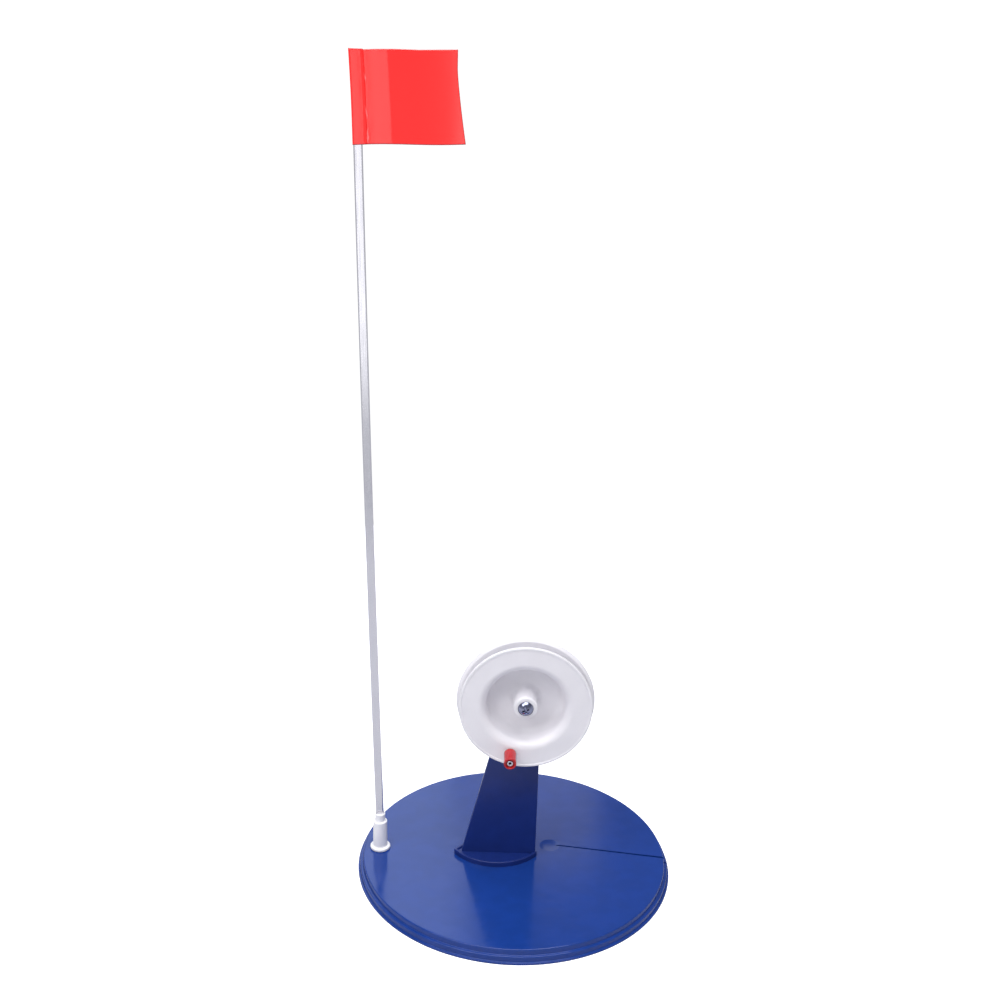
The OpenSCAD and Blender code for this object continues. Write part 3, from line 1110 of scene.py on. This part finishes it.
@dataclass
class LineReel(Assembly):
    """The reel with its drum, flanges, bowl and boss, its washer and its hub screw."""

    axis: Point = REEL_AXIS
    outer: float = 40.0
    back_outer: float = 41.7
    spool_w: float = 10.7
    drum: float = 28.0
    flange: float = 2.0
    boss: float = 7.2
    bore: float = 2.17
    floor_r: float = 19.5
    wall_r: float = 24.0
    bevel: float = 1.7
    mouth: float = 5.0
    root: float = 3.0
    floor: float = 3.2
    recess: float = 1.2
    bead: float = 1.5
    set_back: float = 0.3
    rivet_r: float = 1.65
    arm: float = 32.2
    arm_angle: float = 14.8
    screw_r: float = 2.1
    screw_len: float = 25.0
    head_r: float = 4.65
    head_h: float = 2.8
    cross_w: float = 1.1
    cross_len: float = 5.0
    cross_depth: float = 1.8
    cross_turn: float = 20.0
    pitch: float = 1.4
    turns: float = 5.0
    thread: float = 0.5
    tip: float = 1.5
    head_edge: float = 0.35
    washer_bore: float = 2.25

    def build(self) -> None:
        """Makes the reel, the washer and the screw."""
        (_, face, _), (_, back, _) = box_mm("reel_spool")
        self._reel(back, back - face)
        self._washer()
        self._screw(face)

    def _reel(self, back: float, length: float) -> None:
        """Makes the reel's one moulding."""
        finish = REEL_WHITE.material()
        face = length - self.set_back
        spool = length - self.spool_w
        bend = self.wall_r - self.floor_r
        section = ring(
            [
                (self.bore, 1.0, 0),
                (self.bore, 0, 0.25),
                (self.boss, 0, 0.4),
                (self.boss, self.recess, 0.3),
                (self.floor_r, self.recess, 0.3),
                (self.floor_r, 0, 0.4),
                (self.drum, 0, 0.6),
                (self.drum, spool, 0.5),
                (self.back_outer, spool, 0.6),
                (self.back_outer, spool + 0.5, 0.8),
                (self.back_outer - self.bevel, spool + self.flange, 1.2),
                (self.drum, spool + self.flange, 0.7),
                (self.drum, length - self.flange, 0.7),
                (self.outer, length - self.flange, 0.6),
                (self.outer, length, 0.5),
                (self.outer - self.bead, length, 0.3),
                (self.outer - self.bead - 0.1, face, 0.25),
                (self.wall_r, face, self.mouth),
                (self.wall_r - 0.3, self.floor, bend),
                (self.boss + 0.25, self.floor, self.root),
                (self.boss, length, 1.1),
                (self.bore, length, 0.2),
            ],
            steps=9,
            hold=0.22,
        )
        made = turned(section, finish, (self.axis[0], back, self.axis[1]), True, 192)
        knob = self.knob_axis()
        hole = turned(
            [(0, 0), (self.rivet_r, 0), (self.rivet_r, 4), (0, 4)],
            finish,
            (knob[0], back - length + 3, knob[1]),
            facing=True,
        )
        made = combine(made, hole, Join.CUT)
        self.piece("line_reel", shade(made, 40), finish, "white_plastic", ["reel_spool"], "reel")

    def knob_axis(self) -> Point:
        """Works out where the crank knob's axis stands, from the arm's length and angle."""
        turn = math.radians(self.arm_angle)
        return (self.axis[0] - self.arm * math.sin(turn), self.axis[1] - self.arm * math.cos(turn))

    def _washer(self) -> None:
        """Makes the turned nylon washer behind the reel."""
        finish = WASHER_NYLON.material()
        (left, front, _), (right, back, _) = box_mm("reel_washer")
        thick = back - front
        outer = (right - left) / 2
        section = ring(
            [
                (self.washer_bore, thick / 2, 0),
                (self.washer_bore, 0, 0.15),
                (outer, 0, 0.25),
                (outer, thick, 0.25),
                (self.washer_bore, thick, 0.15),
            ]
        )
        made = turned(section, finish, (self.axis[0], back, self.axis[1]), True)
        self.piece("reel_washer_nylon", shade(made), finish, "washer_plastic", ["reel_washer"], "base")

    def _screw(self, face: float) -> None:
        """Makes the hub screw: pan head with a cross recess, shank and wound thread."""
        finish = SCREW_ZINC.material()
        core = self.screw_r - self.thread
        thread_end = self.tip + self.turns * self.pitch
        ball = (self.head_r**2 + self.head_h**2) / (2 * self.head_h)
        spread = math.asin(self.head_r / ball)
        top = self.screw_len + self.head_h
        dome = []
        for k in range(16, -1, -1):
            turn = spread * (0.97 * k / 16)
            dome.append((ball * math.sin(turn), top - ball + ball * math.cos(turn)))
        shank = rounded(
            [
                (0, 0, 0),
                (core, self.tip, 0.4),
                (core, thread_end, 0.2),
                (self.screw_r, thread_end + self.thread, 0.2),
                (self.screw_r, self.screw_len, 0),
                (self.head_r - 0.1, self.screw_len, 0.1),
                (self.head_r, self.screw_len + self.head_edge, 0),
            ]
        )
        at = (self.axis[0], face + self.screw_len, self.axis[1])
        made = turned([*shank, *dome], finish, at, True, 128)
        for quarter in (0, 90):
            made = combine(made, self._cross(at, top, quarter), Join.CUT)
        wound = THREAD.make(
            {
                "Turns": self.turns,
                "Core Radius": core * MM,
                "Depth": self.thread * MM,
                "Length": self.turns * self.pitch * MM,
            },
            finish,
        )
        wound.transform(Matrix.Translation((0, 0, self.tip * MM)))
        wound.transform(FACING)
        wound.transform(Matrix.Translation(Vector(at) * MM))
        made = combine(made, wound, Join.UNITE)
        self.piece("hub_screw_zinc", shade(made), finish, "zinc_steel", ["hub_screw"], "base")

    def _cross(self, at: Sequence[float], top: float, quarter: float) -> Mesh:
        """Makes one tapered arm of the cross recess."""
        place = (
            Matrix.Translation(Vector(at))
            @ FACING
            @ Matrix.Rotation(math.radians(quarter + self.cross_turn), 4, "Z")
        )
        rings = []
        for height, scale in ((top - self.cross_depth, 0.55), (top + 0.4, 1.12)):
            long, wide = self.cross_len / 2 * scale, self.cross_w / 2 * (0.6 + 0.4 * scale)
            corners = ((-long, -wide), (long, -wide), (long, wide), (-long, wide))
            rings.append([place @ Vector((x, y, height)) for x, y in corners])
        return loft(rings)


@dataclass
class CrankKnob(Assembly):
    """The red sleeve that turns on a hollow rivet."""

    recess_r: float = 2.7
    recess: float = 1.46
    gap: float = 0.07
    rivet_r: float = 1.65
    rivet_hole: float = 0.8
    lip_r: float = 1.85
    lip_h: float = 0.8
    tail_r: float = 2.4
    tail_h: float = 0.7

    def build(self) -> None:
        """Makes the sleeve and the rivet."""
        x, z = LineReel().knob_axis()
        (left, front, _), (right, back, _) = box_mm("knob_sleeve")
        self._sleeve(x, z, back, back - front, (right - left) / 2)
        self._rivet(x, z)

    def _sleeve(self, x: float, z: float, back: float, length: float, outer: float) -> None:
        """Makes the red tube, recessed round the rivet's lip."""
        finish = KNOB_RED.material()
        bore = self.rivet_r + self.gap
        section = ring(
            [
                (bore, length / 2, 0),
                (bore, 0, 0.2),
                (outer, 0, 0.35),
                (outer, length, 0.55),
                (self.recess_r, length, 0.35),
                (self.recess_r, length - self.recess, 0.2),
                (bore, length - self.recess, 0),
            ]
        )
        made = turned(section, finish, (x, back, z), True)
        self.piece("knob_tube", shade(made, 40), finish, "red_plastic", ["knob_sleeve"], "knob")

    def _rivet(self, x: float, z: float) -> None:
        """Makes the hollow rivet with its rolled lip and its tail behind the flange."""
        finish = RIVET_NICKEL.material()
        (_, tip, _), (_, back, _) = box_mm("knob_rivet")
        length = back - tip
        section = ring(
            [
                (self.rivet_hole, length / 2, 0),
                (self.rivet_hole, 0, 0.15),
                (self.tail_r, 0, 0.3),
                (self.tail_r, self.tail_h, 0.25),
                (self.rivet_r, self.tail_h, 0),
                (self.rivet_r, length - self.lip_h, 0),
                (self.lip_r, length - self.lip_h, 0.35),
                (self.lip_r, length, 0.4),
                (self.rivet_hole, length, 0.4),
            ]
        )
        made = turned(section, finish, (x, back, z), True)
        self.piece("rivet_hollow", shade(made, 40), finish, "rivet_steel", ["knob_rivet"], "reel")


@dataclass
class FlagMast(Assembly):
    """The white socket that swivels in the cover, and the spring strip that stands in it."""

    axis_x: float = -86.4
    flange_r: float = 6.4
    flange_h: float = 2.0
    float_h: float = 0.1
    body_r: float = 4.55
    body_z: float = 28.9
    collar_r: float = 3.25
    hole_r: float = 2.75
    mouth: float = 0.7
    spigot_r: float = 4.0
    barb_r: float = 4.7
    strip_w: float = 5.0
    strip_t: float = 0.5
    strip_root: float = 14.0
    free_z: float = 34.0
    top_z: float = 490.5
    foot_x: float = -86.6
    lean: float = 13.8
    back: float = 3.1
    reach: float = 11.0
    reach_flag: float = 4.0
    row: float = 1.25

    def build(self) -> None:
        """Makes the socket and every bending stretch of the strip."""
        self._socket()
        joints = {j["child"]: j for j in frame["joints"]}
        mounts = ["flag_mount", *[f"strip_{i}" for i in range(2, 12)], "flag_end"]
        heights = [joints[name]["pos_m"][2] / MM for name in mounts[1:]]
        finish = STRIP_STEEL.material()
        for i, height in enumerate(heights):
            low = self.strip_root if i == 0 else (heights[i - 1] + height) / 2
            high = self.top_z if i == len(heights) - 1 else (height + heights[i + 1]) / 2
            nodes = [f"spring_strip_{i + 2}"] + (["spring_strip_1"] if i == 0 else [])
            made = self._stretch(low, high, finish)
            one = self.piece(f"spring_strip_bend_{i + 1}", made, finish, "spring_steel", nodes)
            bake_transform(one)

    def _spot(self, height: float) -> Vector:
        """Works out the strip's middle at a height, in metres."""
        part = max(0.0, (height - self.free_z) / (self.top_z - self.free_z))
        x = self.foot_x - self.lean * part + self.back * part * part
        return Vector((x, 0.0, height)) * MM

    def _stretch(self, low: float, high: float, finish: Material) -> Mesh:
        """Makes the strip between two heights, fine enough to bend smoothly."""
        made = STRIP.make(
            {
                "Width": self.strip_w * MM,
                "Thickness": self.strip_t * MM,
                "Low": low * MM,
                "High": high * MM,
                "Foot": self.foot_x * MM,
                "Free": self.free_z * MM,
                "Top": self.top_z * MM,
                "Lean": self.lean * MM,
                "Return": self.back * MM,
                "Rows": int((high - low) / self.row) + 2,
            },
            finish,
        )
        return shade(made, 50)

    def _socket(self) -> None:
        """Makes the socket: thick flange, body, rolled collar, and the snap spigot below."""
        finish = SOCKET_WHITE.material()
        (_, _, low), (_, _, top) = box_mm("flag_socket")
        deck = box_mm("base_disc")[1][2]
        rest = deck + self.float_h
        catch = deck - HoleCover().deck_t - 0.3
        section = rounded(
            [
                (0, low, 0),
                (self.spigot_r - 0.3, low, 0.3),
                (self.barb_r, (low + catch) / 2, 0.2),
                (self.barb_r, catch, 0.2),
                (self.spigot_r, catch, 0.1),
                (self.spigot_r, rest, 0.1),
                (self.flange_r, rest, 0.5),
                (self.flange_r, rest + self.flange_h, 0.8),
                (self.body_r, rest + self.flange_h, 0.6),
                (self.body_r - 0.12, self.body_z, 0.55),
                (self.collar_r - 0.12, self.body_z, 0.4),
                (self.collar_r - 0.12, top - 1.3, 0.2),
                (self.collar_r, top - 1.2, 0.2),
                (self.collar_r, top, 0.4),
                (self.hole_r, top, 0.2),
                (self.hole_r - 0.1, top - self.mouth, 0.2),
                (0, top - self.mouth, 0),
            ]
        )
        made = turned(section, finish, (self.axis_x, 0, 0))
        half_w, half_t = self.strip_w / 2 + 0.05, self.strip_t / 2 + 0.02
        slot = block(
            (self.foot_x - half_w, -half_t, self.strip_root), (self.foot_x + half_w, half_t, top + 1)
        )
        made = combine(made, slot, Join.CUT)
        self.piece(
            "flag_socket_moulding",
            shade(made, 40),
            finish,
            "socket_plastic",
            ["flag_socket"],
            "flag_mount",
        )


@dataclass
class SignalFlag(Assembly):
    """One cut of red film, folded round the strip and glued to itself."""

    left_top: float = -101.0
    left_low: float = -99.3
    right_top: float = -44.95
    right_low: float = -40.05
    flap: float = 7.6
    film_t: float = 0.16
    fold_r: float = 0.42
    strip_right: float = 6.3
    lift: float = 2.0
    press: float = 0.33
    bulge: float = 0.2
    glued: float = 1.2
    seam_w: float = 2.6
    step_down: float = 0.9
    crown: float = 0.5
    sag: float = 0.35
    bow: float = 0.25
    crease_lean: float = 0.8
    flare_from: float = 0.2
    flare_power: float = 1.25
    crease_at: float = 13.7
    turn_at: float = 26.0
    slopes: Point = (0.085, -0.05)
    columns: int = 104
    rows: int = 72

    def build(self) -> None:
        finish = FLAG_RED.material()
        (_, _, low), (_, _, top) = box_mm("flag")
        points, seam, border, across = [], [], [], []
        for j in range(self.rows + 1):
            down = j / self.rows
            line = self._line(down)
            across.append(sum((Vector(q) - Vector(p)).length for p, q in zip(line, line[1:])))
            for x, y in line:
                points.append((x, y, self._height(x, y, down, top, low)))
                near = x - self._left(down) - self.flap
                seam.append(math.exp(-((near / self.seam_w) ** 2)) if y < 0.2 else 0.0)
                border.append(1.0 if j in (0, self.rows) or (x, y) == line[-1] else 0.0)
        count = len(points) // (self.rows + 1)
        faces = []
        for j in range(self.rows):
            for i in range(count - 1):
                a = j * count + i
                faces.append((a, a + 1, a + count + 1, a + count))
        made = bpy.data.meshes.new("film")
        made.from_pydata([[c * MM for c in p] for p in points], [], faces)
        for name, values in (("seam", seam), ("border", border)):
            made.attributes.new(name, "FLOAT", "POINT").data.foreach_set("value", values)
        for face in made.polygons:
            face.use_smooth = True
        flag = self.piece("signal_flag_film", made, finish, "red_film", ["flag"], "flag_end")
        wall = flag.modifiers.new("film", "SOLIDIFY")
        wall.thickness = self.film_t * MM
        wall.offset = 0.0

    def _left(self, down: float) -> float:
        """Works out the left edge's place from the top (0) to the bottom (1)."""
        straight = self.left_top + (self.left_low - self.left_top) * down
        return straight + self.bow * math.sin(math.pi * down)

    def _right(self, down: float) -> float:
        """Works out the right edge's place: straight at first, then it flares out."""
        flare = max(0.0, down - self.flare_from) / (1 - self.flare_from)
        return self.right_top + (self.right_low - self.right_top) * flare**self.flare_power

    def _height(self, x: float, y: float, down: float, top: float, low: float) -> float:
        """Works out a point's height: the layer starts lower than its flap and rises to its free side."""
        part = (x - self._left(down)) / (self.right_low - self.left_top)
        flap = x - self._left(down) < self.flap and y < -0.15
        rise = self.lift * part
        crown = self.crown * math.sin(math.pi * min(1.0, part * 1.7))
        flown = top - self.step_down + crown + rise
        edge_top = top if flap else flown
        edge_low = low + self.sag * math.sin(math.tau * part) + rise
        return edge_top + (max(edge_low, low) - edge_top) * down

    def _wave(self, run: float, down: float) -> float:
        """Works out how far back the flying layer stands at a run from the seam.

        It is flat to a crease, turns back behind it and curls forward again to its free edge.

        Args:
            run: distance from where the two layers part.
            down: 0 at the top, 1 at the bottom.

        Returns:
            The distance in millimetres.
        """
        crease = self.crease_at + self.crease_lean * down
        first, last = self.slopes
        behind = min(max(0.0, run - crease), self.turn_at - crease)
        far = max(0.0, run - self.turn_at)
        reach = self.right_low - self.left_top - self.strip_right - self.turn_at
        curl = first * far + (last - first) * far * far / (2 * reach)
        return first * behind + curl * (0.85 + 0.3 * down)

    def _line(self, down: float) -> list[Point]:
        """Draws the film's section at one level, from the flap's edge round to the right edge."""
        left, right = self._left(down), self._right(down)
        seam = left + self.flap
        line = []
        for k in range(13):
            part = k / 12
            x = seam - (self.flap - self.fold_r) * part
            press = max(0.0, (x - left - self.strip_right) / (self.flap - self.strip_right))
            bulge = self.bulge * (x - left) / self.flap * (1 - press)
            line.append((x, -self.fold_r - bulge + self.press * press))
        for k in range(1, 8):
            turn = math.pi * k / 8
            line.append(
                (left + self.fold_r - self.fold_r * math.sin(turn), -self.fold_r * math.cos(turn))
            )
        for k in range(9):
            x = left + self.fold_r + (self.strip_right - self.fold_r) * k / 8
            line.append((x, self.fold_r))
        start = left + self.strip_right
        for k in range(1, self.columns + 1):
            x = start + (right - start) * k / self.columns
            run = x - start
            settle = 1 - min(1.0, run / self.glued)
            drop = self.fold_r * settle * settle * (3 - 2 * settle)
            line.append((x, drop + self._wave(run, down)))
        return line


# ------------------------------------------------------------------ the studio


@dataclass(frozen=True)
class Softbox:
    """One softbox: where it hangs, what it faces, its size and its brightness."""

    name: str
    at: tuple[float, float, float]
    aim: tuple[float, float, float]
    size: tuple[float, float]
    bright: float
    tint: str = "FFFFFF"

    def hang(self) -> None:
        """Makes the light; bright is its radiance, so its power follows from its area."""
        data = bpy.data.lights.new(self.name, "AREA")
        data.shape = "RECTANGLE"
        data.size, data.size_y = self.size
        data.energy = self.bright * math.pi * self.size[0] * self.size[1]
        data.color = colour(self.tint)[:3]
        lamp = bpy.data.objects.new(self.name, data)
        lamp.location = self.at
        facing = Vector(self.aim) - Vector(self.at)
        lamp.rotation_mode = "QUATERNION"
        lamp.rotation_quaternion = facing.to_track_quat("-Z", "Y")
        lamp.visible_camera = False
        bpy.context.scene.collection.objects.link(lamp)


@dataclass
class Studio:
    """Pale floor, white surroundings, softboxes and the camera."""

    camera_at: tuple[float, float, float] = (-0.01515, -0.70845, 0.50363)
    ahead: tuple[float, float, float] = (0.0, 0.930198, -0.367058)
    right: tuple[float, float, float] = (0.999473, 0.011914, 0.030192)
    lens: float = 46.753
    sensor: float = 36.0
    shift: float = 0.04
    floor_r: float = 0.62
    floor_rough: float = 0.9
    floor_glow: float = 0.9
    white: float = 1.05
    clip: float = 0.01
    room_bright: float = 0.8
    room: tuple[tuple[float, str], ...] = (
        (0.0, "B9BCC6"),
        (0.3, "E2E4EC"),
        (0.36, "EDEFF4"),
        (0.44, "E6E6EA"),
        (0.5, "E0E0E4"),
        (0.62, "9A9CA6"),
        (1.0, "9496A0"),
    )
    boxes: tuple[Softbox, ...] = (
        Softbox("key_box", (-0.75, -0.75, 1.15), (0, 0, 0.1), (0.8, 0.8), 4.3),
        Softbox("top_box", (0.1, -0.28, 1.3), (0, 0, 0.05), (0.9, 0.9), 5.6),
        Softbox("backdrop_left", (-0.42, 1.25, 1.05), (-0.1, 0, 0.0), (0.75, 0.75), 2.25, "DCE8FF"),
        Softbox("backdrop_low", (0.05, 1.25, 0.7), (0, 0, 0.0), (0.24, 0.36), 1.0),
        Softbox("strip_box", (-0.325, -1.8, 0.24), (-0.09, 0, 0.42), (0.25, 0.8), 1.12),
    )

    def build(self) -> None:
        """Makes the camera, the floor, the surroundings and the lights."""
        self._camera()
        self._floor()
        self._surroundings()
        for box in self.boxes:
            box.hang()
        bpy.context.scene.view_settings.view_transform = "Standard"

    def _camera(self) -> None:
        """Places the camera."""
        data = bpy.data.cameras.new("studio_camera")
        data.sensor_width = self.sensor
        data.lens = self.lens
        data.shift_y = self.shift
        data.clip_start = self.clip
        camera = bpy.data.objects.new("studio_camera", data)
        ahead, right = Vector(self.ahead).normalized(), Vector(self.right).normalized()
        up = right.cross(ahead).normalized()
        turn = Matrix((right, up, -ahead)).transposed()
        camera.matrix_world = Matrix.Translation(self.camera_at) @ turn.to_4x4()
        bpy.context.scene.collection.objects.link(camera)
        bpy.context.scene.camera = camera

    def _floor(self) -> None:
        """Makes the round pale floor, whose own light only the camera sees."""
        made = bpy.data.materials.new("studio_floor_pale")
        made.use_nodes = True
        shader = made.node_tree.nodes["Principled BSDF"]
        shader.inputs["Base Color"].default_value = colour("D0D0D4")
        shader.inputs["Roughness"].default_value = self.floor_rough
        shader.inputs["Emission Color"].default_value = colour("FFFFFF")
        tree = made.node_tree
        ray = add_node(tree, "ShaderNodeLightPath").outputs["Is Camera Ray"]
        glow = add_node(tree, "ShaderNodeMapRange", {0: ray, 3: 0.0, 4: self.floor_glow}).outputs[0]
        tree.links.new(glow, shader.inputs["Emission Strength"])
        mesh = bpy.data.meshes.new("studio_floor")
        work = bmesh.new()
        bmesh.ops.create_circle(work, cap_ends=True, segments=96, radius=self.floor_r)
        work.to_mesh(mesh)
        work.free()
        mesh.materials.append(made)
        floor = bpy.data.objects.new("studio_floor", mesh)
        bpy.context.scene.collection.objects.link(floor)

    def _surroundings(self) -> None:
        """Makes the room: plain white to the camera, greys graded by height for light and mirroring."""
        world = bpy.data.worlds.new("studio_room")
        world.use_nodes = True
        bpy.context.scene.world = world
        tree = world.node_tree
        tree.nodes.clear()
        ray = add_node(tree, "ShaderNodeLightPath").outputs["Is Camera Ray"]
        where = add_node(tree, "ShaderNodeTexCoord").outputs["Generated"]
        height = add_node(tree, "ShaderNodeSeparateXYZ", {0: where}).outputs["Z"]
        part = add_node(
            tree, "ShaderNodeMapRange", {0: height, 1: -1.0, 2: 1.0, 3: 0.0, 4: 1.0}
        ).outputs[0]
        grade = add_node(tree, "ShaderNodeValToRGB", {0: part})
        ramp = grade.color_ramp
        for element, (position, code) in zip(ramp.elements, (self.room[0], self.room[-1])):
            element.position, element.color = position, colour(code)
        for position, code in self.room[1:-1]:
            ramp.elements.new(position).color = colour(code)
        room = add_node(tree, "ShaderNodeBackground", {0: grade.outputs[0], 1: self.room_bright})
        white = add_node(tree, "ShaderNodeBackground", {0: colour("FFFFFF"), 1: self.white})
        seen = add_node(tree, "ShaderNodeMixShader", {0: ray, 1: room.outputs[0], 2: white.outputs[0]})
        add_node(tree, "ShaderNodeOutputWorld", {0: seen.outputs[0]})


def main() -> None:
    """Builds every sub-assembly and the studio."""
    logging.basicConfig(level=logging.INFO, format="%(name)s: %(message)s")
    Studio().build()
    for part in (HoleCover(), Stand(), LineReel(), CrankKnob(), FlagMast(), SignalFlag()):
        part.build()
        part.report()


if __name__ == "__main__":
    main()
